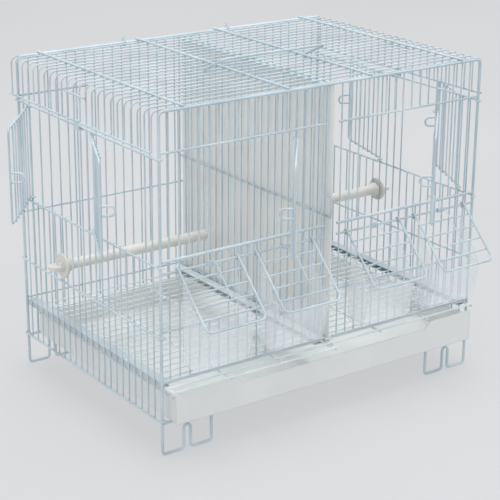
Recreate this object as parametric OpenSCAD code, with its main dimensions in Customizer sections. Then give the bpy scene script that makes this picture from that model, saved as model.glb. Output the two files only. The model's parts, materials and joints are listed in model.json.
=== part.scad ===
// Canary breeding cage: a welded wire cage on bent wire feet, split by two
// pull-out dividers, with wire doors, sprung feeder hoods, hanging cups,
// two floor grilles and a waste tray. Sizes are in millimetres.
// X runs along the front, Y from the front to the back and Z up. The origin
// is under the middle of the whole cage as it stands, with its doors ajar.

/* [Cage] */
// Length between the centres of the corner posts
cage_l = 450; // [420:5:540]
// Depth between the centres of the corner posts
cage_d = 312; // [290:2:380]
// Height of the top frame wire
cage_h = 392; // [350:1:440]
// Wire spaces across the front and the back
front_spaces = 35; // [35:1:38]
// Wire spaces along each end
end_spaces = 23; // [23:1:27]

/* [Wire] */
// Frame wire of the posts, the feet and the thick rails
frame_wire = 3.4; // [3:0.1:3.8]
// Wire of the rails and of the door and hood frames
rail_wire = 2.5; // [2.2:0.1:2.8]
// Thin wire of the bars
bar_wire = 1.8; // [1.5:0.1:2.1]
// How deep a weld sinks one wire into the next
weld_bite = 0.05; // [0.02:0.01:0.08]
// Gap between a wire eye or hook and the wire that it goes round
eye_gap = 0.3; // [0.2:0.05:0.5]

/* [Rail heights] */
// Drop of the rail over the front doors under the top frame wire
band_drop = 45; // [40:1:52]
// Thick rail under the front doors
feeder_z = 227.5; // [224:0.5:230]
// Rail that the hoods hang on
hood_z = 214; // [208:1:216]
// Rail that the cups hang on
cup_z = 147; // [140:1:152]
// Rail over the slots of the grilles and the tray
sill_z = 88.2; // [88:0.2:92]
// Rail that the tray slides on
base_z = 39; // [37:0.5:41]
// Drop of the end panels' hooked rails under the front rails
hook_drop = 5.5; // [5:0.5:6]

/* [Doors] */
// Wire spaces across a front door
front_door_spaces = 9; // [8, 9]
// Wire spaces across an end door
end_door_spaces = 8; // [7, 8]
// Drop of a front door's top rail under the rail above it
door_top_gap = 10; // [7:0.5:14]
// Height of a front door's bottom rail over the rail below it
door_foot_gap = 5.5; // [4.5:0.5:9]
// Drop of an end door's top rail under the rail above it
end_door_top_gap = 3.5; // [3.5:0.5:10]
// Height of an end door's bottom rail over the rail below it
end_door_foot_gap = 5; // [4:0.5:10]
// Length of a door's latch loop
latch_l = 17; // [14:1:20]
// Height of a door's latch loop
latch_h = 11; // [9:0.5:14]
// How far the left front door stands open, in degrees
left_door_angle = 51.5; // [0:0.5:90]
// How far the right front door stands open, in degrees
right_door_angle = 47; // [0:0.5:90]
// How far the left end's doors stand open, front and back, in degrees
left_end_angles = [25, 39];
// How far the right end's doors stand open, front and back, in degrees
right_end_angles = [25, 14.5];

/* [Feeders] */
// Wire spaces across a feeder opening
feeder_spaces = 5; // [4, 5]
// Length of a hood down its slope
hood_l = 79; // [74:1:84]
// Tilt of a hood out from the front, in degrees
hood_angle = 45; // [40:1:70]
// Width of a cup
cup_w = 70; // [62:1:71]
// Distance of a cup's side past the first bar of its opening
cup_inset = 0.8; // [0.5:0.1:2]
// Width of the lips that hang the cup on its rail
lip_w = 7; // [5:0.5:9]
// Reach of a cup's rim in front of the rail
cup_reach = 39; // [34:1:42]
// Reach of a cup's floor in front of the rail
cup_floor_reach = 29; // [24:1:32]
// Height of a cup's rim over its rail
cup_rim_rise = 3; // [2.5:0.5:5]
// Depth of a cup under its rim
cup_h = 46; // [40:1:50]
// Height of a cup's side wings over its rim
wing_rise = 52; // [40:1:54]
// Wall of a cup
cup_wall = 1.8; // [1.4:0.1:2.4]
// Wire of the hood springs
spring_wire = 1.2; // [1:0.1:1.3]
// Turns of a hood spring
spring_turns = 6; // [4:1:6]

/* [Dividers] */
// Thickness of the solid divider
sheet_t = 1; // [0.8:0.1:1.4]
// How far the solid divider's edge stands before the posts
sheet_out = 2; // [0:0.5:4]
// Height of the wire divider's middle rail
divider_rail_z = 237; // [220:1:260]
// Height of the pull hook on the middle rail
pull_h = 25; // [15:1:35]

/* [Floor] */
// Width of the sheet channels that carry the grilles
channel_w = 12; // [11:0.5:14]
// Height of the sheet channels
channel_h = 7.2; // [7.2:0.1:8.5]
// Sheet thickness of the channels
channel_t = 0.8; // [0.6:0.1:1]
// Underside of the channels
channel_z = 80.5; // [80:0.5:81]
// Cross wires of a grille
grille_wires = 24; // [20:1:27]
// Length of a grille between its first and last cross wire
grille_l = 315; // [300:1:315]
// How far the left grille is pulled out
left_grille_out = 25; // [10:1:30]
// How far the right grille is pulled out
right_grille_out = 12; // [10:1:30]

/* [Tray] */
// Gap between a post's centre and the tray's side
tray_side_gap = 8; // [5:0.5:12]
// How far the tray's front stands before the posts
tray_out = 16; // [8:1:24]
// Height of the tray's front
tray_front_h = 38.5; // [36:0.5:38.5]
// Height of the tray's other three sides
tray_side_h = 31; // [26:0.5:38]
// Wall of the tray
tray_wall = 2; // [1.6:0.1:2.6]
// Width of the tray's rim lip
tray_lip = 3; // [2:0.5:5]
// Depth of the finger recess in the tray's front
recess_h = 8.5; // [4:0.5:10]
// Length of the finger recess at its floor
recess_l = 270; // [200:2:300]
// How far the recess lies to the right of the tray's middle
recess_x = 8; // [0:1:12]

/* [Feet] */
// Span of a foot from the post to its last leg
foot_span = 65; // [60:1:75]
// Width of the upright loop in the middle of a foot
foot_loop_w = 9; // [8.5:0.5:11]
// Height of the upright loop
foot_loop_h = 30; // [24:1:32]
// Depth of the flats that the feet stand on
foot_flat = 0.3; // [0.2:0.05:0.5]

/* [Roof] */
// Distance of the bent-down roof ends outside the posts
roof_overhang = 6; // [5.5:0.5:9]
// Bend radius of the roof bars
roof_bend = 8; // [6:1:16]
// Bend radius of the top frame wire at the posts
top_bend = 6; // [5:0.5:14]
// Drop of the rails along the bent-down roof ends under the top frame wire
skirt_drop = 43; // [36:0.5:44]
// Drop of the short rungs on the roof ends under the top frame wire
rung_drop = 13; // [13:0.5:20]

/* [Handle] */
// Length of the handle between its eyes
handle_l = 144; // [120:2:160]
// Height of the handle over its pivot
handle_h = 43; // [36:1:55]
// Wire of the handle
handle_wire = 3; // [2.5:0.1:3.4]
// Lean of the handle to the front from upright, in degrees
handle_angle = 65; // [0:1:80]

/* [Perches] */
// Diameter of a perch
perch_d = 13; // [10:0.5:16]
// Length of a perch
perch_l = 200; // [150:5:205]
// Height of the left perch
left_perch_z = 162; // [158:1:200]
// Height of the right perch
right_perch_z = 184; // [158:1:200]
// Diameter of a perch's flange, inside the bars
flange_d = 18; // [16:1:26]
// Diameter of a perch's nut, outside the bars
nut_d = 29; // [20:1:30]
// Width of the grip on a perch's nut
grip_w = 18; // [14:1:18]
// Reach of the grip
grip_l = 20; // [18:1:26]

/* [Hidden] */
$fn = 24;

// Colours: bluish white powder coat, ivory and clear mouldings, grey sheet
wire_colour = "#dde6e8";
sheet_colour = "#cdccc8";
tray_colour = "#e4e5e4";
perch_colour = "#e6e4de";
channel_colour = "#a9bcc3";
cup_colour = [0.86, 0.91, 0.94, 0.45];

// First wire space of the front doors and of the feeders, and the bar that
// is left out for the dividers
door_starts = [5, 21];
feeder_starts = [2, 10, 20, 28];
slot_bar = 18;
// First wire space of the end doors, on the front and the back half
end_door_starts = [2, end_spaces - 2 - end_door_spaces];

// Pitches and the planes that the wires lie in
front_pitch = cage_l / front_spaces;
end_pitch = cage_d / end_spaces;
half_l = cage_l / 2;
half_d = cage_d / 2;
bar_y = half_d - (frame_wire + bar_wire) / 2 + weld_bite;
overshoot = rail_wire / 2;
slot_lead = 5.3;
sill_lead = 8;
bar_top_z = cage_h - 0.2;

// Levels of the hooked end rails
hook_gap = 0.05;
hook_r = (frame_wire + rail_wire) / 2 + hook_gap;
hook_sweep = 150;
end_rail_x = half_l + hook_r;
end_bar_x = end_rail_x - (rail_wire + bar_wire) / 2 + weld_bite;
band_z = cage_h - band_drop;
end_top_z = band_z - hook_drop;
end_sill_z = feeder_z - hook_drop;
end_low_z = cup_z - hook_drop;
end_base_z = base_z + (frame_wire + rail_wire) / 2 + 0.35;
back_levels = [band_z - 1, feeder_z - 26.5, sill_z + 1.3];

// Roof
skirt_z = cage_h - skirt_drop;
rung_z = cage_h - rung_drop;
crossbar_z = cage_h + (frame_wire + rail_wire) / 2 - weld_bite;
roof_bar_z = crossbar_z - (rail_wire + bar_wire) / 2 + weld_bite;
roof_leg_x = half_l + roof_overhang;
skirt_x = roof_leg_x + (rail_wire + bar_wire) / 2 - weld_bite;
roof_gap = 0.3;
roof_first_y = -bar_y + bar_wire + roof_gap;
roof_last_y = half_d + (frame_wire + bar_wire) / 2 + roof_gap;
roof_pitch = (roof_last_y - roof_first_y) / end_spaces;
roof_leg_foot_z = skirt_z - overshoot;
crossbar_xs = [-195, -58, 58, 195] * cage_l / 450;
wrap_r = (rail_wire + bar_wire) / 2 - weld_bite;
rung_half = 1.5 * roof_pitch;
tie_wire = 1.4;
tie_r = 3.9;
tie_bend = 2.5;
tie_rise = 7.5;
tie_lean = 2.5;

// Doors
eye_r = (bar_wire + rail_wire) / 2 + eye_gap;
eye_sweep = 300;
front_door_zs = [feeder_z + door_foot_gap, band_z - door_top_gap];
end_door_zs = [end_sill_z + end_door_foot_gap, end_top_z - end_door_top_gap];
latch_gap = 0.3;
door_corner = 5;

// Hoods and their springs
hood_y = -half_d + (frame_wire - rail_wire) / 2;
hood_eye_r = rail_wire + eye_gap;
hood_side_starts = -0.3;
hood_side_ends = feeder_spaces + 0.78;
hood_w = (hood_side_ends - hood_side_starts) * front_pitch;
hood_bar_steps = [14, 31, 47, 63] / 79;
hood_bar_y = -hood_eye_r + (rail_wire + bar_wire) / 2 - weld_bite;
hood_corner = 8;

// The torsion springs: wound loosely round the hood's rail, with one leg up
// the outside of the feeder rail and one down the outside of the hood
spring_gap = 0.5;
spring_step = spring_wire + spring_gap;
spring_rings = 8;
spring_sides = 6;
spring_space = 3;
spring_r = hood_y + half_d + (frame_wire + spring_wire) / 2 + 0.1;
spring_x = (spring_space - hood_side_starts) * front_pitch;
spring_up_l = feeder_z - hood_z + 2;
spring_leg_y = hood_bar_y - (bar_wire + spring_wire) / 2 + weld_bite;
spring_coil_steps = spring_turns * spring_rings;
spring_path = concat(
  [spring_point(0) + spring_up_l * [0, -sin(hood_angle), cos(hood_angle)]],
  [for (i = [0 : spring_coil_steps]) spring_point(i / spring_coil_steps)],
  [[spring_point(1).x, spring_leg_y, -hood_bar_steps[2] * hood_l]]
);
// The coil starts with the leg upright and ends with it along the hood
function spring_point(t) =
  let (a = 180 + hood_angle + t * (360 * spring_turns - hood_angle))
  [spring_x + (t - 0.5) * spring_turns * spring_step, spring_r * cos(a), spring_r * sin(a)];
// The least gap between points of neighbouring turns
spring_self_gap = min([for (i = [0 : spring_coil_steps], j = [0 : spring_coil_steps])
  if (j - i > spring_rings / 2) norm(spring_point(i / spring_coil_steps)
                                     - spring_point(j / spring_coil_steps))]) - spring_wire;
echo(spring_self_gap = spring_self_gap);

// Cups
panel_front_y = -half_d - frame_wire / 2;
cup_gap = 0.3;
cup_back_y = panel_front_y - cup_gap;
cup_top_z = cup_z + cup_rim_rise;
cup_foot_z = cup_top_z - cup_h;

// Floor
web_x = end_bar_x - bar_wire / 2 + weld_bite;
channel_back_y = bar_y - bar_wire / 2 + weld_bite;
run_gap = 0.3;
side_wire_z = channel_z + channel_t + run_gap + rail_wire / 2;
cross_wire_z = side_wire_z + (rail_wire + bar_wire) / 2 - weld_bite;
pull_wire_z = side_wire_z + rail_wire - weld_bite;
outer_side_x = half_l - frame_wire / 2 - rail_wire / 2 - 0.45;
inner_side_x = channel_t + run_gap + rail_wire / 2;

// Tray
tray_l = cage_l - 2 * tray_side_gap;
tray_z = base_z + frame_wire / 2 + run_gap;
tray_back_y = half_d - 8;
recess_slope = 10;

// Dividers
slot_x = (slot_bar - front_spaces / 2) * front_pitch;
divider_foot_z = channel_z + channel_h + run_gap;
divider_top_z = cage_h - frame_wire / 2 - run_gap;
divider_front_y = -bar_y + 3;
divider_back_y = bar_y - bar_wire / 2 - 1;
divider_bar_x = slot_x - 6.6;
divider_rail_x = divider_bar_x + (rail_wire + bar_wire) / 2 - weld_bite;
sheet_x = divider_rail_x + rail_wire / 2 + 1 + sheet_t / 2;
guide_z = roof_bar_z - (rail_wire + bar_wire) / 2 + weld_bite;
divider_spaces = 22;

// Perches
left_perch_y = (15.5 - end_spaces / 2) * end_pitch;
right_perch_y = (13.5 - end_spaces / 2) * end_pitch;
flange_t = 3;
nut_t = 3;
grip_t = 3.5;
hub_wall = 2;
stud_d = 5;
stud_l = 8;
clamp_gap = 0.02;

// The cage's own middle stands off the middle of its outline, because the
// doors stand open by different amounts: these are the outline's edges
end_door_w = door_width(end_door_spaces * end_pitch);
front_door_w = door_width(front_door_spaces * front_pitch);
left_edge = end_bar_x + max([for (a = left_end_angles) door_reach(end_door_w, a)]);
right_edge = end_bar_x + max([for (a = right_end_angles) door_reach(end_door_w, a)]);
front_edge = bar_y + max(door_reach(front_door_w, left_door_angle),
                         door_reach(front_door_w, right_door_angle));
back_edge = roof_last_y + wrap_r + overshoot;
origin_x = (right_edge - left_edge) / 2;
origin_y = (back_edge - front_edge) / 2;

// Width of a door over a span of wires: its latch just passes the last one
function door_width(span) =
  let (reach = span - (bar_wire + rail_wire) / 2 - latch_gap,
       depth = latch_l - eye_r)
  sqrt(reach * reach - depth * depth);
// How far an open door's free edge stands out from its hinge wire
function door_reach(w, angle) =
  w * sin(angle) + eye_r * cos(angle) + rail_wire / 2;

function front_x(k) = (k - front_spaces / 2) * front_pitch;
function end_y(k) = (k - end_spaces / 2) * end_pitch;
function roof_y(k) = roof_first_y + k * roof_pitch;
function inside(k, starts, spaces) =
  len([for (s = starts) if (k > s && k < s + spaces) s]) > 0;
function unit(v) = v / norm(v);

// A straight wire from one point to another
module wire(p, q, d) {
  v = q - p;
  translate(p)
    rotate([0, acos(v.z / norm(v)), atan2(v.y, v.x)])
      cylinder(h = norm(v), d = d);
}

// One bend of a wire at a corner between two directions
module wire_bend(corner, dir_in, dir_out, d, r) {
  turn = acos(dir_in * dir_out);
  across = unit(dir_out - (dir_in * dir_out) * dir_in);
  centre = corner - dir_in * r * tan(turn / 2) + across * r;
  up = cross(-across, dir_in);
  multmatrix([
    [-across.x, dir_in.x, up.x, centre.x],
    [-across.y, dir_in.y, up.y, centre.y],
    [-across.z, dir_in.z, up.z, centre.z],
    [0, 0, 0, 1]
  ])
    rotate_extrude(angle = turn) translate([r, 0]) circle(d = d);
}

// A wire through the points, bent at each corner to the same radius
module bent_wire(points, d, r) {
  last = len(points) - 1;
  dirs = [for (i = [0 : last - 1]) unit(points[i + 1] - points[i])];
  setbacks = [for (i = [0 : last])
    i == 0 || i == last ? 0 : r * tan(acos(dirs[i - 1] * dirs[i]) / 2)];
  union() {
    for (i = [0 : last - 1]) {
      p = points[i] + dirs[i] * setbacks[i];
      q = points[i + 1] - dirs[i] * setbacks[i + 1];
      if (norm(q - p) > 0.02) wire(p, q, d);
    }
    for (i = [1 : last - 1]) wire_bend(points[i], dirs[i - 1], dirs[i], d, r);
  }
}

// An open eye round the Z axis, carrying on from a wire that comes in
// along +X on the -Y side
module eye(r, d, sweep) {
  rotate([0, 0, -90]) rotate_extrude(angle = sweep) translate([r, 0]) circle(d = d);
}

// Puts a piece from the cage's middle onto the origin
module place() {
  translate([-origin_x, -origin_y, 0]) children();
}

module front_frame_wire() {
  color(wire_colour)
    bent_wire([
      [-half_l, -half_d, cage_h - top_bend],
      [-half_l, -half_d, cage_h],
      [half_l, -half_d, cage_h],
      [half_l, -half_d, cage_h - top_bend]
    ], frame_wire, top_bend);
}

module corner_posts() {
  color(wire_colour)
    for (side = [-1, 1])
      wire([side * half_l, -half_d, base_z], [side * half_l, -half_d, cage_h - top_bend],
           frame_wire);
}

// A rail butted between the posts, flush with their inner side
module rail(x0, x1, z, d) {
  y = -half_d + (frame_wire - d) / 2;
  wire([x0, y, z], [x1, y, z], d);
}

// Front rails, all but the lowest cut at the divider slot
module front_rails() {
  end_x = half_l - frame_wire / 2 + weld_bite;
  levels = [[band_z, rail_wire], [feeder_z, frame_wire], [hood_z, rail_wire],
            [cup_z, rail_wire], [sill_z, rail_wire]];
  color(wire_colour) {
    for (level = levels) {
      lead = level[0] == sill_z ? sill_lead : slot_lead;
      rail(-end_x, front_x(slot_bar - 1) + overshoot, level[0], level[1]);
      rail(front_x(slot_bar + 1) - lead, end_x, level[0], level[1]);
    }
    rail(-end_x, end_x, base_z, frame_wire);
  }
}

module back_rails() {
  end_x = half_l - frame_wire / 2 + weld_bite;
  color(wire_colour) mirror([0, 1, 0]) {
    for (z = back_levels) rail(-end_x, end_x, z, rail_wire);
    rail(-end_x, end_x, base_z, frame_wire);
  }
}

// The stretches of a front bar, left out over a door and over a feeder
function front_spans(k) =
  let (door = inside(k, door_starts, front_door_spaces),
       feeder = inside(k, feeder_starts, feeder_spaces),
       foot = sill_z - overshoot,
       over_door = [band_z - overshoot, bar_top_z],
       under_feeder = [foot, cup_z + overshoot])
  door && feeder ? [under_feeder, over_door]
  : door ? [[foot, feeder_z + overshoot], over_door]
  : feeder ? [under_feeder, [feeder_z - overshoot, bar_top_z]]
  : [[foot, bar_top_z]];

module front_bars() {
  color(wire_colour)
    for (k = [1 : front_spaces - 1]) if (k != slot_bar)
      for (span = front_spans(k))
        wire([front_x(k), -bar_y, span[0]], [front_x(k), -bar_y, span[1]], bar_wire);
}

module back_bars() {
  color(wire_colour)
    for (k = [1 : front_spaces - 1])
      wire([front_x(k), bar_y, base_z - overshoot], [front_x(k), bar_y, bar_top_z], bar_wire);
}

// One foot: the post turns under, rises in a narrow loop and comes back up
// to the base rail, and is pressed flat where it stands
module foot() {
  r = (foot_loop_w - 0.1) / 2;
  z = frame_wire / 2 - foot_flat;
  x1 = (foot_span - foot_loop_w) / 2;
  x2 = x1 + foot_loop_w;
  rail_foot_z = base_z - frame_wire / 2 + weld_bite;
  difference() {
    bent_wire([
      [0, 0, base_z], [0, 0, z], [x1, 0, z], [x1, 0, foot_loop_h],
      [x2, 0, foot_loop_h], [x2, 0, z], [foot_span, 0, z], [foot_span, 0, rail_foot_z]
    ], frame_wire, r);
    translate([-frame_wire, -frame_wire, -frame_wire])
      cube([foot_span + 2 * frame_wire, 2 * frame_wire, frame_wire]);
  }
}

module feet() {
  color(wire_colour)
    for (sx = [0, 1], sy = [0, 1])
      mirror([sx, 0, 0]) mirror([0, sy, 0])
        translate([-half_l, -half_d, 0]) foot();
}

// Rails of the left end, hooked round both posts
module end_rails() {
  color(wire_colour)
    for (z = [end_top_z, end_sill_z, end_low_z, end_base_z]) {
      wire([-end_rail_x, -half_d, z], [-end_rail_x, half_d, z], rail_wire);
      for (side = [0, 1]) mirror([0, side, 0])
        translate([-half_l, -half_d, z]) rotate([0, 0, 180])
          rotate_extrude(angle = hook_sweep) translate([hook_r, 0]) circle(d = rail_wire);
    }
}

module end_bars() {
  color(wire_colour)
    for (k = [1 : end_spaces - 1]) {
      top = inside(k, end_door_starts, end_door_spaces) ? end_sill_z : end_top_z;
      wire([-end_bar_x, end_y(k), end_base_z - overshoot],
           [-end_bar_x, end_y(k), top + overshoot], bar_wire);
    }
}

module roof_bars() {
  reach = roof_leg_x - roof_bend;
  color(wire_colour)
    for (k = [0 : end_spaces])
      wire([-reach, roof_y(k), roof_bar_z], [reach, roof_y(k), roof_bar_z], bar_wire);
}

// The ends of the roof bars, bent down over the end panels
module roof_bends() {
  color(wire_colour)
    for (side = [0, 1], k = [0 : end_spaces])
      mirror([side, 0, 0])
        bent_wire([
          [-roof_leg_x + roof_bend, roof_y(k), roof_bar_z],
          [-roof_leg_x, roof_y(k), roof_bar_z],
          [-roof_leg_x, roof_y(k), roof_leg_foot_z]
        ], bar_wire, roof_bend);
}

// Cross wires over the roof, wrapped round the last roof bar
module roof_crossbars() {
  color(wire_colour)
    for (x = crossbar_xs)
      bent_wire([
        [x, -half_d - overshoot, crossbar_z],
        [x, roof_last_y + wrap_r, crossbar_z],
        [x, roof_last_y + wrap_r, roof_bar_z - 5]
      ], rail_wire, wrap_r);
}

module roof_skirts() {
  color(wire_colour)
    for (x = [-skirt_x, skirt_x])
      wire([x, roof_first_y - overshoot, skirt_z], [x, roof_last_y + overshoot, skirt_z],
           rail_wire);
}

module roof_rungs() {
  color(wire_colour)
    for (x = [-skirt_x, skirt_x]) {
      y = roof_y(round(end_spaces / 2)) - roof_pitch / 2;
      wire([x, y - rung_half - overshoot, rung_z], [x, y + rung_half + overshoot, rung_z],
           rail_wire);
    }
}

// Open wire ties that hold the last roof bar to the back top wire, ends up
module roof_ties() {
  y = half_d - frame_wire / 2 + weld_bite + tie_r - tie_wire / 2;
  color(wire_colour)
    for (x = [-6, 6] * front_pitch)
      translate([x, y, cage_h]) bent_wire([
        [tie_lean, 1, tie_rise], [0, tie_r, tie_bend], [0, tie_r, -tie_r],
        [0, -tie_r, -tie_r], [0, -tie_r, tie_bend], [-tie_lean, -1, tie_rise]
      ], tie_wire, tie_bend);
}

// Sheet clips that hold each roof skirt to the end panel below it
module skirt_clips() {
  clip_w = 9;
  clip_t = 0.7;
  x0 = end_rail_x - rail_wire / 2;
  x1 = skirt_x + rail_wire / 2;
  color(wire_colour)
    for (side = [0, 1]) mirror([side, 0, 0])
      translate([0, clip_w / 2, 0]) rotate([90, 0, 0])
        linear_extrude(clip_w)
          polygon([
            [-x0 + 0.6, end_top_z - overshoot - clip_t],
            [-x1 - clip_t, end_top_z - overshoot - clip_t],
            [-x1 - clip_t, skirt_z + overshoot + clip_t],
            [-x1 + rail_wire, skirt_z + overshoot + clip_t],
            [-x1 + rail_wire, skirt_z + overshoot],
            [-x1, skirt_z + overshoot],
            [-x1, end_top_z - overshoot],
            [-x0 + 0.6, end_top_z - overshoot]
          ]);
}

// Two wires under the roof that the dividers slide between
module divider_guides() {
  front_y = -half_d + frame_wire / 2 + 0.5;
  gap = run_gap + rail_wire / 2;
  color(wire_colour)
    for (x = [divider_bar_x - bar_wire / 2 - gap, sheet_x + sheet_t / 2 + gap])
      wire([x, front_y, guide_z], [x, channel_back_y, guide_z], rail_wire);
}

// One sheet channel, its web at x = 0 and its mouth towards +X
module channel() {
  translate([0, channel_back_y, channel_z]) rotate([90, 0, 0])
    linear_extrude(2 * channel_back_y)
      polygon([
        [0, 0], [channel_w, 0], [channel_w, channel_t], [channel_t, channel_t],
        [channel_t, channel_h - channel_t], [channel_w, channel_h - channel_t],
        [channel_w, channel_h], [0, channel_h]
      ]);
}

module left_channel() {
  color(channel_colour) translate([-web_x, 0, 0]) channel();
}

// Two channels back to back, with a tab that runs on to the sill rail
module centre_channel() {
  tab_x = front_x(slot_bar - 1) + bar_wire / 2 + 0.5;
  tab_y = hood_y + overshoot - weld_bite;
  tab_z = channel_z + channel_h - channel_t;
  ear_x = front_x(slot_bar + 1) - sill_lead;
  color(channel_colour) union() {
    channel();
    mirror([1, 0, 0]) channel();
    translate([tab_x, tab_y, tab_z])
      cube([channel_w - tab_x, channel_t - channel_back_y - tab_y, channel_t]);
    translate([ear_x, tab_y, tab_z])
      cube([channel_w - ear_x, channel_t, max(channel_t, sill_z - tab_z)]);
  }
}

// A pull-out grate between two side wires, with a doubled front wire
module grille(x0, x1, out) {
  front_y = -half_d - out;
  back_y = front_y + grille_l;
  step = grille_l / (grille_wires - 1);
  color(wire_colour) union() {
    for (x = [x0, x0 + (x1 - x0) / 3, x1 - (x1 - x0) / 3, x1])
      wire([x, front_y - overshoot, side_wire_z], [x, back_y + overshoot, side_wire_z],
           rail_wire);
    for (i = [0, 1])
      wire([x0 - 1, front_y + i * step, pull_wire_z],
           [x1 + 1, front_y + i * step, pull_wire_z], rail_wire);
    for (i = [2 : grille_wires - 1])
      wire([x0 - 1, front_y + i * step, cross_wire_z],
           [x1 + 1, front_y + i * step, cross_wire_z], bar_wire);
  }
}

// The waste tray: a thin moulding with a rim lip on three sides and a
// taller front with a long finger recess
module tray() {
  body_l = tray_l - 2 * tray_lip;
  front_y = -half_d - tray_out;
  depth = tray_back_y - front_y;
  color(tray_colour) translate([0, front_y, tray_z]) difference() {
    union() {
      translate([-body_l / 2, 0, 0]) cube([body_l, depth - tray_lip, tray_side_h]);
      translate([-tray_l / 2, tray_out / 2, tray_side_h - tray_wall])
        cube([tray_l, depth - tray_out / 2, tray_wall]);
      translate([-tray_l / 2, 0, 0]) cube([tray_l, tray_wall, tray_front_h]);
    }
    translate([-body_l / 2 + tray_wall, tray_wall, tray_wall])
      cube([body_l - 2 * tray_wall, depth - tray_lip - 2 * tray_wall, tray_side_h]);
    translate([recess_x, 2 * tray_wall, 0]) rotate([90, 0, 0]) linear_extrude(3 * tray_wall)
      polygon([
        [-recess_l / 2, tray_front_h - recess_h],
        [recess_l / 2, tray_front_h - recess_h],
        [recess_l / 2 + recess_slope, tray_front_h + 1],
        [-recess_l / 2 - recess_slope, tray_front_h + 1]
      ]);
  }
}

// Pull-out wire divider, its middle rail bent up in front as a pull hook
module wire_divider() {
  step = (divider_back_y - divider_front_y) / divider_spaces;
  top_z = divider_top_z - overshoot;
  foot_z = divider_foot_z + overshoot;
  pull_y = -half_d - 4;
  color(wire_colour) union() {
    for (i = [0 : divider_spaces])
      wire([divider_bar_x, divider_front_y + i * step, divider_foot_z],
           [divider_bar_x, divider_front_y + i * step, divider_top_z], bar_wire);
    for (z = [foot_z, top_z])
      wire([divider_rail_x, divider_front_y - 1, z], [divider_rail_x, divider_back_y, z],
           rail_wire);
    bent_wire([
      [divider_rail_x, divider_back_y, divider_rail_z],
      [divider_rail_x, pull_y, divider_rail_z],
      [divider_rail_x, pull_y, divider_rail_z + pull_h],
      [divider_rail_x, pull_y + 7, divider_rail_z + pull_h]
    ], rail_wire, 3);
  }
}

module sheet_divider() {
  color(sheet_colour)
    translate([sheet_x - sheet_t / 2, -half_d - sheet_out, divider_foot_z])
      cube([sheet_t, divider_back_y + half_d + sheet_out, divider_top_z - divider_foot_z]);
}

// A door w wide, with its hinge wire on the Z axis, its outside on -Y and
// its rails at two heights
module door(w, spaces, zs) {
  bar_step = w / spaces;
  bar_plane = -eye_r + (rail_wire + bar_wire) / 2 - weld_bite;
  color(wire_colour) union() {
    bent_wire([[0, -eye_r, zs[1]], [-w, -eye_r, zs[1]], [-w, -eye_r, zs[0]], [0, -eye_r, zs[0]]],
              rail_wire, door_corner);
    for (z = zs) translate([0, 0, z]) eye(eye_r, rail_wire, eye_sweep);
    for (i = [1 : spaces - 1])
      wire([-w + i * bar_step, bar_plane, zs[0] - overshoot],
           [-w + i * bar_step, bar_plane, zs[1] + overshoot], bar_wire);
  }
}

// The latch: a flat loop from the free edge that points into the cage
module latch(w, zs) {
  start_y = -eye_r + rail_wire / 2 - weld_bite;
  tip_y = -eye_r + latch_l - rail_wire / 2;
  latch_z = (zs[0] + zs[1]) / 2;
  color(wire_colour)
    bent_wire([
      [-w, start_y, latch_z - latch_h / 2], [-w, tip_y, latch_z - latch_h / 2],
      [-w, tip_y, latch_z + latch_h / 2], [-w, start_y, latch_z + latch_h / 2]
    ], rail_wire, (latch_h - 0.2) / 2);
}

// Stands a front door's pieces open on its hinge bar
module on_front(i, angle) {
  translate([front_x(door_starts[i] + front_door_spaces), -bar_y, 0])
    rotate([0, 0, angle]) children();
}

// Stands an end door's pieces open on its hinge bar, on the left end
module on_end(i, angle) {
  translate([-end_bar_x, end_y(end_door_starts[i] + end_door_spaces), 0])
    rotate([0, 0, 90 - angle]) mirror([0, 1, 0]) children();
}

// The right end is the left one turned about
module turned() {
  rotate([0, 0, 180]) children();
}

// A hood in its hinge's own frame, hanging straight down from the X axis
module hood_frame() {
  color(wire_colour) union() {
    bent_wire([
      [0, -hood_eye_r, 0], [0, -hood_eye_r, -hood_l],
      [hood_w, -hood_eye_r, -hood_l], [hood_w, -hood_eye_r, 0]
    ], rail_wire, hood_corner);
    for (x = [0, hood_w])
      translate([x, 0, 0]) rotate([0, -90, 0]) eye(hood_eye_r, rail_wire, eye_sweep - 30);
    for (step = hood_bar_steps)
      wire([-overshoot, hood_bar_y, -step * hood_l],
           [hood_w + overshoot, hood_bar_y, -step * hood_l], bar_wire);
  }
}

module on_hood(i) {
  translate([front_x(feeder_starts[i] + hood_side_starts), hood_y, hood_z])
    rotate([-hood_angle, 0, 0]) children();
}

// Sweeps a six-sided tube along a path that winds round the X axis
module tube(path, d) {
  n = len(path);
  dirs = [for (i = [0 : n - 1])
    unit((i == 0 ? path[1] : path[min(i + 1, n - 1)]) - path[max(i - 1, 0)])];
  rings = [for (i = [0 : n - 1])
    let (side = unit(cross(dirs[i], [1, 0, 0])), lift = cross(side, dirs[i]))
    for (s = [0 : spring_sides - 1])
      path[i] + d / 2 * (side * cos(360 * s / spring_sides)
                         + lift * sin(360 * s / spring_sides))];
  quads = [for (i = [0 : n - 2], s = [0 : spring_sides - 1])
    let (a = i * spring_sides + s,
         b = i * spring_sides + (s + 1) % spring_sides)
    [a, b, b + spring_sides, a + spring_sides]];
  polyhedron(
    points = rings,
    faces = concat(
      [for (q = quads) [q[0], q[2], q[1]]],
      [for (q = quads) [q[0], q[3], q[2]]],
      [for (s = [1 : spring_sides - 2]) [0, s, s + 1]],
      [for (s = [1 : spring_sides - 2])
        let (e = (n - 1) * spring_sides) [e, e + s + 1, e + s]]
    )
  );
}

module hood_spring() {
  color(wire_colour) tube(spring_path, spring_wire);
}

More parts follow.
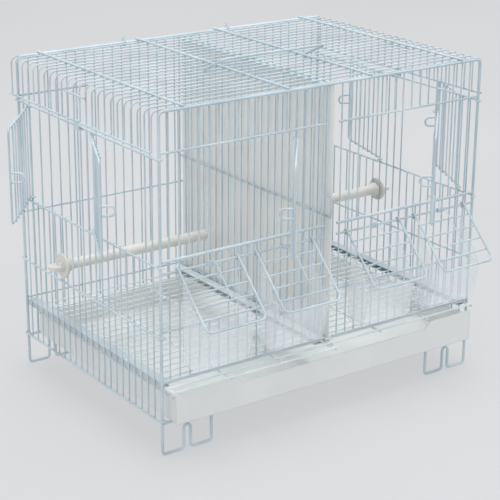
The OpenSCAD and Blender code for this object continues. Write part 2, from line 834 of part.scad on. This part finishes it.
// A cup: a tapered trough with side wings, and two lips over its rail
module cup() {
  rail_back_y = -half_d + (frame_wire - rail_wire) / 2 + rail_wire / 2;
  lip_z = cup_z + rail_wire / 2 + 0.1;
  front_foot_y = -half_d - cup_floor_reach;
  front_rim_y = -half_d - cup_reach;
  inner_foot_z = cup_foot_z + cup_wall;
  color(cup_colour) {
    difference() {
      side_profile(cup_w)
        polygon([
          [cup_back_y, cup_foot_z], [front_foot_y, cup_foot_z], [front_rim_y, cup_top_z],
          [cup_back_y, cup_top_z + wing_rise]
        ]);
      side_profile(cup_w - 2 * cup_wall)
        polygon([
          [cup_back_y - cup_wall, inner_foot_z], [front_foot_y + cup_wall, inner_foot_z],
          [front_rim_y + cup_wall, cup_top_z], [front_rim_y - 1, cup_top_z],
          [front_rim_y - 1, cup_top_z + wing_rise + 1],
          [cup_back_y + 1, cup_top_z + wing_rise + 1], [cup_back_y + 1, cup_top_z],
          [cup_back_y - cup_wall, cup_top_z]
        ]);
    }
    for (k = [1.5, feeder_spaces - 1.5])
      translate([k * front_pitch - cup_inset - cup_w / 2, 0, 0])
        side_profile(lip_w)
          polygon([
            [cup_back_y - cup_wall, cup_top_z - 3], [cup_back_y, cup_top_z - 3],
            [cup_back_y, lip_z], [rail_back_y + 0.2, lip_z], [rail_back_y + 0.2, cup_z - 5],
            [rail_back_y + 0.2 + cup_wall, cup_z - 5],
            [rail_back_y + 0.2 + cup_wall, cup_top_z], [cup_back_y - cup_wall, cup_top_z]
          ]);
  }
}
// Extrudes a Y-Z outline along X, centred on x = 0
module side_profile(w) {
  translate([w / 2, 0, 0]) rotate([90, 0, -90]) linear_extrude(w) mirror([1, 0, 0])
    children();
}

module on_feeder(i) {
  translate([front_x(feeder_starts[i]) + cup_inset + cup_w / 2, 0, 0]) children();
}

// A perch on the left end: rod, flared flange and clamping stud in one turning
module perch() {
  r = perch_d / 2;
  color(perch_colour)
    rotate([0, 90, 0]) rotate_extrude()
      polygon([
        [0, -stud_l], [stud_d / 2, -stud_l], [stud_d / 2, 0], [flange_d / 2, 0],
        [flange_d / 2, flange_t], [r + 2, flange_t + 2], [r, flange_t + 8],
        [r, perch_l - 2], [r - 2, perch_l], [0, perch_l]
      ]);
}

// Its nut outside the bars: a disc with a hub and a flat round-ended grip
module perch_nut() {
  color(perch_colour) rotate([0, -90, 0]) translate([0, 0, bar_wire + 2 * clamp_gap]) difference() {
    union() {
      cylinder(d = nut_d, h = nut_t);
      cylinder(d = stud_d + 2 * hub_wall, h = stud_l);
      translate([-grip_t / 2, -grip_w / 2, 0]) cube([grip_t, grip_w, grip_l - grip_w / 2]);
      translate([-grip_t / 2, 0, grip_l - grip_w / 2]) rotate([0, 90, 0])
        cylinder(d = grip_w, h = grip_t);
    }
    translate([0, 0, -1]) cylinder(d = stud_d + 0.1, h = stud_l);
  }
}

module on_left_end(y, z) {
  translate([-end_bar_x + bar_wire / 2 + clamp_gap, y, z]) children();
}

// The handle: a wire bail with an eye at each end round one roof bar
module handle() {
  r = (handle_wire + bar_wire) / 2 + eye_gap;
  x0 = -10 - handle_l / 2;
  color(wire_colour)
    translate([0, roof_y(9), roof_bar_z]) rotate([handle_angle, 0, 0]) union() {
      bent_wire([
        [x0, r, 0], [x0, r, handle_h], [x0 + handle_l, r, handle_h], [x0 + handle_l, r, 0]
      ], handle_wire, 9);
      for (x = [x0, x0 + handle_l])
        translate([x, 0, 0]) rotate([180, 90, 0]) eye(r, handle_wire, eye_sweep - 30);
    }
}

place() front_frame_wire();  // front_top_wire
place() corner_posts();  // front_posts
place() front_rails();
place() front_bars();
place() mirror([0, 1, 0]) front_frame_wire();  // back_top_wire
place() mirror([0, 1, 0]) corner_posts();  // back_posts
place() back_rails();
place() back_bars();
place() feet();
place() end_rails();  // left_end_rails
place() end_bars();  // left_end_bars
place() turned() end_rails();  // right_end_rails
place() turned() end_bars();  // right_end_bars
place() roof_bars();
place() roof_bends();
place() roof_crossbars();
place() roof_skirts();
place() roof_rungs();
place() roof_ties();
place() skirt_clips();
place() divider_guides();
place() left_channel();
place() mirror([1, 0, 0]) left_channel();  // right_channel
place() centre_channel();
place() grille(-outer_side_x, -inner_side_x, left_grille_out);  // left_grille
place() grille(inner_side_x, outer_side_x, right_grille_out);  // right_grille
place() tray();
place() wire_divider();
place() sheet_divider();
place() on_front(0, left_door_angle) door(front_door_w, front_door_spaces, front_door_zs);  // left_front_door
place() on_front(1, right_door_angle) door(front_door_w, front_door_spaces, front_door_zs);  // right_front_door
place() on_front(0, left_door_angle) latch(front_door_w, front_door_zs);  // left_front_latch
place() on_front(1, right_door_angle) latch(front_door_w, front_door_zs);  // right_front_latch
place() on_end(0, left_end_angles[0]) door(end_door_w, end_door_spaces, end_door_zs);  // left_end_front_door
place() on_end(1, left_end_angles[1]) door(end_door_w, end_door_spaces, end_door_zs);  // left_end_back_door
place() turned() on_end(1, right_end_angles[0]) door(end_door_w, end_door_spaces, end_door_zs);  // right_end_front_door
place() turned() on_end(0, right_end_angles[1]) door(end_door_w, end_door_spaces, end_door_zs);  // right_end_back_door
place() on_end(0, left_end_angles[0]) latch(end_door_w, end_door_zs);  // left_end_front_latch
place() on_end(1, left_end_angles[1]) latch(end_door_w, end_door_zs);  // left_end_back_latch
place() turned() on_end(1, right_end_angles[0]) latch(end_door_w, end_door_zs);  // right_end_front_latch
place() turned() on_end(0, right_end_angles[1]) latch(end_door_w, end_door_zs);  // right_end_back_latch
place() on_hood(0) hood_frame();  // hood_1
place() on_hood(1) hood_frame();  // hood_2
place() on_hood(2) hood_frame();  // hood_3
place() on_hood(3) hood_frame();  // hood_4
place() on_hood(0) hood_spring();  // hood_spring_1
place() on_hood(1) hood_spring();  // hood_spring_2
place() on_hood(2) hood_spring();  // hood_spring_3
place() on_hood(3) hood_spring();  // hood_spring_4
place() on_feeder(0) cup();  // cup_1
place() on_feeder(1) cup();  // cup_2
place() on_feeder(2) cup();  // cup_3
place() on_feeder(3) cup();  // cup_4
place() on_left_end(left_perch_y, left_perch_z) perch();  // left_perch
place() on_left_end(left_perch_y, left_perch_z) perch_nut();  // left_perch_nut
place() mirror([1, 0, 0]) on_left_end(right_perch_y, right_perch_z) perch();  // right_perch
place() mirror([1, 0, 0]) on_left_end(right_perch_y, right_perch_z) perch_nut();  // right_perch_nut
place() handle();
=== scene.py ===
# %% [markdown]
# # Looks for a canary breeding cage
#
# The cage arrives as a imported CAD model: 58 named pieces, in metres, each
# already riding on the body that moves it. This lesson gives those pieces their
# surfaces, puts a copy in place of each of the four hood springs, and lights
# the cage the way the photograph does.
#
# The object is nearly all thin wire, two millimetres across, so the looks rest
# on three things: the colour of the powder coat, soft light that still leaves a
# darker side on each wire, and clear cups that read as clear.

import json

import bpy
from mathutils import Matrix, Vector


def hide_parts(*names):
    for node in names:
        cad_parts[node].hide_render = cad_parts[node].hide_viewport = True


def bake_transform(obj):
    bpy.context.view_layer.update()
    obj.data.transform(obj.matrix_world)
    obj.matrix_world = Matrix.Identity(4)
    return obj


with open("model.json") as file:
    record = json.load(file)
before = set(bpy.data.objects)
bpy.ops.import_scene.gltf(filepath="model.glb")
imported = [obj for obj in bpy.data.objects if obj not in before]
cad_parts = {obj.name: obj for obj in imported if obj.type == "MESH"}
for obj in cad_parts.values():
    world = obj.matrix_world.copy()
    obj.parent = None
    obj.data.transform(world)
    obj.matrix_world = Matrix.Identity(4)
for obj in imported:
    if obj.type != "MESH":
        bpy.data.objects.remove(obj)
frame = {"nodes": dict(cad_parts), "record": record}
scene = bpy.context.scene
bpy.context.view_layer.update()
nodes = frame["nodes"]

# %% [markdown]
# ## Camera
#
# A long lens from the front left, a little above the roof: at this distance the
# verticals of the cage stay almost parallel. The camera is placed by its
# position, the direction it looks in and the direction in which the right side
# of its picture lies, all worked out from the cage's corners.

# %% Camera
IMAGE = 500
FOCAL_PX = 1559.6
SENSOR_MM = 36.0
NEAREST, FARTHEST = 0.05, 60
CAMERA_AT = Vector((-1.0416, -1.4347, 0.7933))
CAMERA_FORWARD = Vector((0.548545, 0.766638, -0.333713))
CAMERA_RIGHT = Vector((0.814635, -0.579935, 0.006783))

camera = bpy.data.objects.new("camera", bpy.data.cameras.new("camera"))
scene.collection.objects.link(camera)
camera.data.sensor_width = SENSOR_MM
camera.data.lens = FOCAL_PX / IMAGE * SENSOR_MM
camera.data.clip_start, camera.data.clip_end = NEAREST, FARTHEST
back = -CAMERA_FORWARD.normalized()
up = back.cross(CAMERA_RIGHT).normalized()
right = up.cross(back)
turn = Matrix((right, up, back)).transposed().to_4x4()
camera.matrix_world = Matrix.Translation(CAMERA_AT) @ turn
scene.camera = camera
print(f"lens {camera.data.lens:.1f} mm at {CAMERA_AT.length:.2f} m")

# %% [markdown]
# ## Small tools for materials
#
# Every colour is written as the sRGB value one would read off a photograph and
# turned linear by one function. `add` makes a shader node, sets its inputs and
# wires up whatever is passed as a socket, so each material reads like a recipe.
# Pattern scales come from real sizes: `per_mm(0.4)` is the noise scale whose
# grain is 0.4 mm wide when the coordinates are in metres.

# %% Material helpers
WIRE_WHITE = "#C9D7DD"


def linear(code):
    """An sRGB hex code as the linear colour, with alpha, that shaders want."""
    parts = [int(code[i : i + 2], 16) / 255 for i in (1, 3, 5)]
    curve = [
        c / 12.92 if c <= 0.04045 else ((c + 0.055) / 1.055) ** 2.4 for c in parts
    ]
    return (*curve, 1.0)


def per_mm(grain):
    """The pattern scale whose grain is that many millimetres wide."""
    return 1000.0 / grain


def add(tree, kind, settings=None, **inputs):
    """A shader node with its settings and inputs; a socket as a value is linked.
    An input is given by its name, or by its place in the node, such as _0."""
    made = tree.nodes.new(kind)
    for name, value in (settings or {}).items():
        setattr(made, name, value)
    for name, value in inputs.items():
        key = int(name[1:]) if name[0] == "_" else name.replace("_", " ")
        if isinstance(value, bpy.types.NodeSocket):
            tree.links.new(value, made.inputs[key])
        else:
            made.inputs[key].default_value = value
    return made


def new_material(name):
    """An empty node material, with its tree, output and object coordinates."""
    material = bpy.data.materials.new(name)
    material.use_nodes = True
    tree = material.node_tree
    tree.nodes.clear()
    output = add(tree, "ShaderNodeOutputMaterial")
    place = add(tree, "ShaderNodeTexCoord").outputs["Object"]
    return material, tree, output, place


def ramp(tree, value, low, high, low_code, high_code):
    """Two colours blended as a value goes from low to high."""
    made = add(tree, "ShaderNodeValToRGB", _0=value)
    made.color_ramp.elements[0].position = low
    made.color_ramp.elements[0].color = linear(low_code)
    made.color_ramp.elements[1].position = high
    made.color_ramp.elements[1].color = linear(high_code)
    return made.outputs["Color"]


def spread(tree, value, low, high):
    """A value from 0 to 1 turned into one from low to high."""
    return add(tree, "ShaderNodeMapRange", _0=value, _3=low, _4=high).outputs[0]


def noise(tree, place, grain, detail=2.0):
    """Cloudy noise whose patches are that many millimetres wide."""
    scale = per_mm(grain)
    made = add(tree, "ShaderNodeTexNoise", Vector=place, Scale=scale, Detail=detail)
    return made.outputs[0]


def mixed(tree, share, first, second):
    """Two shaders mixed, with that share of the second."""
    made = add(tree, "ShaderNodeMixShader", _0=share, _1=first, _2=second)
    return made.outputs[0]


def larger(tree, first, second):
    """The larger of two values."""
    made = add(tree, "ShaderNodeMath", {"operation": "MAXIMUM"}, _0=first, _1=second)
    return made.outputs[0]


print("the wire's coat in linear light:", [round(c, 3) for c in linear(WIRE_WHITE)])

# %% [markdown]
# ## The powder coated wire
#
# Polyester powder coat over welded steel: a dielectric with an index of about
# 1.5, semi-gloss, a cold white with a blue tinge. Three things keep it from
# being one flat colour. The coat pulls thin and greyer in slow patches; it has
# the orange-peel surface of cured powder, about a millimetre wide; and dust
# takes the gloss off in places. The folded channels get painted shade: where
# the ambient occlusion node finds a fold, the colour turns teal, standing in for
# the shadow in the channel. The two pull-out grilles and the middle channel
# between them get a lighter copy of the coat, painted light, because they are
# lit more brightly than the panels.

# %% Powder coat
POWDER_INDEX = 1.5
PATCH_MM, PEEL_MM, DUST_MM = 45.0, 1.1, 9.0
PEEL_HEIGHT_MM = 0.02
PEEL_STRENGTH = 0.35
DUST_ROUGHENS = 0.12
FOLD_REACH = 0.007


def powder_coat(name, light, shade, rough, fold_shade_teal=None):
    material, tree, output, place = new_material(name)
    patches = noise(tree, place, PATCH_MM, detail=3.0)
    grain = noise(tree, place, PEEL_MM)
    colour = ramp(tree, patches, 0.35, 0.65, shade, light)
    # painted shade: in a fold found by the ambient occlusion node, the colour turns
    # to the teal that stands in for the shadow there
    if fold_shade_teal:
        folds = add(
            tree,
            "ShaderNodeAmbientOcclusion",
            {"samples": 8, "only_local": True},
            Distance=FOLD_REACH,
        )
        fold_shade_mask = ramp(tree, folds.outputs["AO"], 0.3, 0.75, "#000000", "#FFFFFF")
        colour = add(
            tree,
            "ShaderNodeMix",
            {"data_type": "RGBA"},
            _0=fold_shade_mask,
            _6=linear(fold_shade_teal),
            _7=colour,
        ).outputs[2]
    dust = spread(tree, noise(tree, place, DUST_MM), rough, rough + DUST_ROUGHENS)
    peel = add(
        tree,
        "ShaderNodeBump",
        Height=grain,
        Strength=PEEL_STRENGTH,
        Distance=PEEL_HEIGHT_MM / 1000,
    )
    shader = add(
        tree,
        "ShaderNodeBsdfPrincipled",
        Base_Color=colour,
        Roughness=dust,
        IOR=POWDER_INDEX,
        Normal=peel.outputs[0],
    )
    tree.links.new(shader.outputs[0], output.inputs[0])
    return material


wire_coat = powder_coat(
    "white powder coat on wire", light=WIRE_WHITE, shade="#B4C4CC", rough=0.32
)
sheet_coat = powder_coat(
    "powder coat on folded sheet",
    light="#BDC8CD",
    shade="#B2BDC3",
    rough=0.35,
    # teal painted shade for the folds of the channels
    fold_shade_teal="#9CE4F8",
)
# painted light: a lighter copy of the wire coat for the grilles and the middle
# channel, lit more brightly than the panels
painted_light_grille_coat = powder_coat(
    "lighter powder coat with painted light on the grilles", light="#E4EBEC", shade="#D5DEE0", rough=0.32
)
print("made", wire_coat.name, "and", sheet_coat.name, "and", painted_light_grille_coat.name)

# %% [markdown]
# ## Spring wire
#
# Spring steel with a blue passivated zinc plate. Its thin dull skin scatters
# half of the light, pale blue, and the bright metal under it reflects the rest.
# Drawing leaves faint lines along the wire; a stretched noise stands for them.

# %% Zinc plated spring wire
DRAWN_LINE_MM = 0.3
DRAWN_STRETCH = (1.0, 1.0, 0.15)
BARE_METAL = 0.5


def zinc_plate():
    material, tree, output, place = new_material("zinc plated spring wire")
    stretched = add(tree, "ShaderNodeMapping", Vector=place, Scale=DRAWN_STRETCH)
    lines = noise(tree, stretched.outputs[0], DRAWN_LINE_MM)
    shader = add(
        tree,
        "ShaderNodeBsdfPrincipled",
        Base_Color=ramp(tree, lines, 0.3, 0.7, "#CBDDE6", "#E3EEF3"),
        Metallic=BARE_METAL,
        Roughness=spread(tree, lines, 0.25, 0.42),
    )
    tree.links.new(shader.outputs[0], output.inputs[0])
    return material


spring_steel = zinc_plate()
print("made", spring_steel.name)

# %% [markdown]
# ## Moulded pieces
#
# The tray, the perches and the solid divider are plain plastic. Each gets a fine
# moulded grain, slow drifts of tone and slightly uneven gloss. A bevel node
# rounds the light over their sharp CAD edges, by half a millimetre or less on
# the perches and the divider and by 1.5 mm on the tray, whose lip is softly
# rounded in the photograph. The tray and the perches are opaque. The divider is
# thin and glows when lit from behind, so a quarter of it is translucent.

# %% Plastic pieces
PLASTIC_INDEX = 1.49
GLOSS_PATCH_MM = 14.0
GLOSS_DRIFT = 0.1
GRAIN_STRENGTH = 0.25
GRAIN_HEIGHT = 0.00003


def moulding(name, light, shade, rough, grain_mm, edge_mm, drift_mm=70.0, glow=0.0):
    """A plastic piece; glow is the share of its shader that is translucent."""
    material, tree, output, place = new_material(name)
    drift = noise(tree, place, drift_mm, detail=3.0)
    grain = noise(tree, place, grain_mm)
    edge = add(tree, "ShaderNodeBevel", {"samples": 4}, Radius=edge_mm / 1000)
    bump = add(
        tree,
        "ShaderNodeBump",
        Height=grain,
        Strength=GRAIN_STRENGTH,
        Distance=GRAIN_HEIGHT,
        Normal=edge.outputs[0],
    )
    gloss = noise(tree, place, GLOSS_PATCH_MM)
    shader = add(
        tree,
        "ShaderNodeBsdfPrincipled",
        Base_Color=ramp(tree, drift, 0.3, 0.7, shade, light),
        Roughness=spread(tree, gloss, rough, rough + GLOSS_DRIFT),
        IOR=PLASTIC_INDEX,
        Normal=bump.outputs[0],
    )
    surface = shader.outputs[0]
    if glow:
        through = add(tree, "ShaderNodeBsdfTranslucent", Color=linear(light))
        surface = mixed(tree, glow, surface, through.outputs[0])
    tree.links.new(surface, output.inputs[0])
    return material


tray_plastic = moulding(
    "injection moulded tray",
    light="#E6E8E7",
    shade="#E0E2E1",
    rough=0.42,
    grain_mm=0.6,
    edge_mm=1.5,
)
perch_plastic = moulding(
    "ivory moulded perch",
    light="#DDDBD6",
    shade="#D3D0CA",
    rough=0.38,
    grain_mm=0.5,
    edge_mm=0.5,
    drift_mm=30.0,
)
divider_sheet = moulding(
    "extruded divider sheet",
    light="#FAFAF8",
    shade="#F4F4F1",
    rough=0.45,
    grain_mm=0.8,
    edge_mm=0.2,
    drift_mm=90.0,
    glow=0.25,
)
print("made", tray_plastic.name, perch_plastic.name, divider_sheet.name)

# %% [markdown]
# ## Clear cups
#
# Clear styrene, index 1.59. Real refraction in a thin wall would cost many
# bounces and cast a dark shadow, so the wall is a mix: it lets light straight
# through, hardly tinted, and adds a mirror reflection that grows from the five
# percent of that index to a strong sheen at grazing angles. The layer weight
# node gives the angle alike on both faces of the wall, where a Fresnel node
# would turn the inner face into a total mirror. The mould's polish and handling
# leave soft cloudy patches. The edges get painted shade: a grey-blue diffuse
# line, standing in for the light bent in the depth of the plastic, where a
# rounded normal and the flat one disagree.

# %% Clear styrene
CUP_EDGE_MM = 1.2
SMEAR_MM = 18.0
EDGES_AGREE, EDGES_APART, EDGE_SHADE_SHARE = 1.0, 0.75, 0.6
SHEEN_POWER = 4.0
SHEEN_FACING, SHEEN_GRAZING = 0.05, 0.6
LEAST_MILK, MOST_MILK = 0.13, 0.25


def clear_styrene():
    material, tree, output, place = new_material("clear moulded styrene")
    smears = noise(tree, place, SMEAR_MM, detail=3.0)
    bevel = add(tree, "ShaderNodeBevel", {"samples": 6}, Radius=CUP_EDGE_MM / 1000)
    rounded = bevel.outputs[0]
    flat = add(tree, "ShaderNodeNewGeometry").outputs["Normal"]
    agree = add(
        tree,
        "ShaderNodeVectorMath",
        {"operation": "DOT_PRODUCT"},
        _0=rounded,
        _1=flat,
    )
    edges = add(
        tree,
        "ShaderNodeMapRange",
        _0=agree.outputs["Value"],
        _1=EDGES_AGREE,
        _2=EDGES_APART,
        _3=0.0,
        _4=EDGE_SHADE_SHARE,
    ).outputs[0]
    through = add(tree, "ShaderNodeBsdfTransparent", Color=linear("#FDFEFF"))
    mirror = add(
        tree,
        "ShaderNodeBsdfGlossy",
        Color=linear("#FFFFFF"),
        Roughness=spread(tree, smears, 0.04, 0.16),
        Normal=rounded,
    )
    angle = add(tree, "ShaderNodeLayerWeight", Blend=0.5, Normal=rounded)
    grazing = add(
        tree,
        "ShaderNodeMath",
        {"operation": "POWER"},
        _0=angle.outputs["Facing"],
        _1=SHEEN_POWER,
    )
    sheen = spread(tree, grazing.outputs[0], SHEEN_FACING, SHEEN_GRAZING)
    wall = mixed(tree, sheen, through.outputs[0], mirror.outputs[0])
    # painted shade: grey-blue along the edges; elsewhere the near white of the cloudy
    # patches
    milk_and_edge_shade_colour = ramp(tree, edges, 0.1, 0.5, "#FAFCFC", "#B9C6CC")
    milk_and_edge_shade = add(tree, "ShaderNodeBsdfDiffuse", Color=milk_and_edge_shade_colour)
    milk_and_edge_share = larger(tree, edges, spread(tree, smears, LEAST_MILK, MOST_MILK))
    wall_with_milk_and_edge_shade = mixed(tree, milk_and_edge_share, wall, milk_and_edge_shade.outputs[0])
    tree.links.new(wall_with_milk_and_edge_shade, output.inputs[0])
    return material


styrene = clear_styrene()
print("made", styrene.name)

# %% [markdown]
# ## Dress the CAD pieces
#
# The record names a material slot for each piece, so one table from slot to
# material dresses the whole cage. Two exceptions follow it. The small clips on
# the roof's skirts are sheet too, but sit on the wire and were coated with it.
# The two grilles and the middle channel take the lighter coat, painted light.

# %% Assign materials
SURFACES = {
    "coated_wire": wire_coat,
    "sheet_steel": sheet_coat,
    "spring_wire": spring_steel,
    "tray_moulding": tray_plastic,
    "divider_sheet": divider_sheet,
    "clear_moulding": styrene,
    "perch_moulding": perch_plastic,
}
PAINTED_LIGHT_PARTS = ("left_grille", "right_grille", "centre_channel")

slots = {part["node"]: part["material_slot"] for part in frame["record"]["subparts"]}
for name, piece in nodes.items():
    piece.data.materials.clear()
    piece.data.materials.append(SURFACES[slots[name]])
nodes["skirt_clips"].data.materials[0] = wire_coat
# painted light: the two grilles and the middle channel take the lighter coat
for name in PAINTED_LIGHT_PARTS:
    nodes[name].data.materials[0] = painted_light_grille_coat
worn = {piece.data.materials[0].name for piece in nodes.values()}
print("dressed", len(nodes), "pieces in", len(worn), "materials")

# %% [markdown]
# ## Copied hood springs
#
# Each hood's torsion spring has one leg up on the feeder rail, which stays, and
# one leg down along the hood, which swings. Left rigid, the upper leg would
# lift off its rail with the hood, and bones would be much work for four small
# coils. Here each CAD spring is hidden and a copy of it, its place baked into
# its mesh, stands in its stead; the copy is not blended from the cage to the
# hood, so its turns do not wind up.

# %% Copy the springs
HOODS = 4
for number in range(1, HOODS + 1):
    cad_spring = nodes[f"hood_spring_{number}"]
    spring = bpy.data.objects.new(
        f"wound_hood_spring_{number}", cad_spring.data.copy()
    )
    scene.collection.objects.link(spring)
    spring.matrix_world = cad_spring.matrix_world
    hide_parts(f"hood_spring_{number}")
    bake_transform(spring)

# %% [markdown]
# ## Floor and light
#
# The photograph is a high-key product shot: a pale grey floor that runs up
# into the background with no edge, and a soft, nearly shadowless light. The
# floor is a translucent shooting table lit from below: most of its brightness
# is its own, and the rest is light from above, in which the cage leaves a faint
# shadow. The world gives an even fill, an overhead softbox reaches down through
# the roof to the tray, and two weaker ones give each wire a brighter side.

# %% Floor
FLOOR_HALF = 30.0
FLOOR_CORNERS = ((-1, -1), (1, -1), (1, 1), (-1, 1))
TONE_PATCH_MM = 900.0
FLOOR_ROUGH = 0.85
LIT_FROM_ABOVE = 0.27

mesh = bpy.data.meshes.new("floor")
mesh.from_pydata(
    [(x * FLOOR_HALF, y * FLOOR_HALF, 0) for x, y in FLOOR_CORNERS],
    [],
    [(0, 1, 2, 3)],
)
floor = bpy.data.objects.new("floor", mesh)
scene.collection.objects.link(floor)
material, tree, output, place = new_material("translucent shooting table")
patches = noise(tree, place, TONE_PATCH_MM)
tone = ramp(tree, patches, 0.3, 0.7, "#D4D5D7", "#D7D8DA")
below = add(tree, "ShaderNodeEmission", Color=tone, Strength=1.0)
above = add(tree, "ShaderNodeBsdfPrincipled", Base_Color=tone, Roughness=FLOOR_ROUGH)
table = mixed(tree, LIT_FROM_ABOVE, below.outputs[0], above.outputs[0])
tree.links.new(table, output.inputs[0])
mesh.materials.append(material)
print("floor", 2 * FLOOR_HALF, "m wide")

# %% Light
FILL_LOW, FILL_HIGH = 0.68, 0.76
CAGE_MIDDLE = (0, 0, 0.2)

world = bpy.data.worlds.new("studio")
scene.world = world
world.use_nodes = True
tree = world.node_tree
tree.nodes.clear()
output = add(tree, "ShaderNodeOutputWorld")
direction = add(tree, "ShaderNodeTexCoord").outputs["Generated"]
height = add(tree, "ShaderNodeSeparateXYZ", Vector=direction).outputs["Z"]
fill = add(
    tree,
    "ShaderNodeBackground",
    Color=linear("#FDFEFF"),
    Strength=spread(tree, height, FILL_LOW, FILL_HIGH),
)
seen = add(tree, "ShaderNodeBackground", Color=linear("#E3E5E7"), Strength=1.0)
path = add(tree, "ShaderNodeLightPath")
direct = path.outputs["Is Camera Ray"]
for ray in ("Is Glossy Ray", "Is Transmission Ray"):
    direct = larger(tree, direct, path.outputs[ray])
both = mixed(tree, direct, fill.outputs[0], seen.outputs[0])
tree.links.new(both, output.inputs[0])


def softbox(name, at, towards, size, watts, code="#FFFFFF"):
    """A round lamp of that width in metres, turned towards a point."""
    lamp = bpy.data.lights.new(name, "AREA")
    lamp.shape = "DISK"
    lamp.size = size
    lamp.energy = watts
    lamp.color = linear(code)[:3]
    holder = bpy.data.objects.new(name, lamp)
    scene.collection.objects.link(holder)
    holder.location = at
    holder.rotation_mode = "QUATERNION"
    aim = Vector(towards) - Vector(at)
    holder.rotation_quaternion = aim.to_track_quat("-Z", "Y")


softbox("overhead softbox", at=(0.3, 0.2, 3.2), towards=(0, 0, 0), size=2.4, watts=62)
softbox("front softbox", at=(0.4, -3.2, 1.2), towards=CAGE_MIDDLE, size=1.4, watts=8)
softbox(
    "left softbox",
    at=(-3.1, -1.2, 1.6),
    towards=CAGE_MIDDLE,
    size=1.6,
    watts=20,
    code="#FBFDFF",
)
scene.view_settings.view_transform = "Standard"
print("world fill and three softboxes")
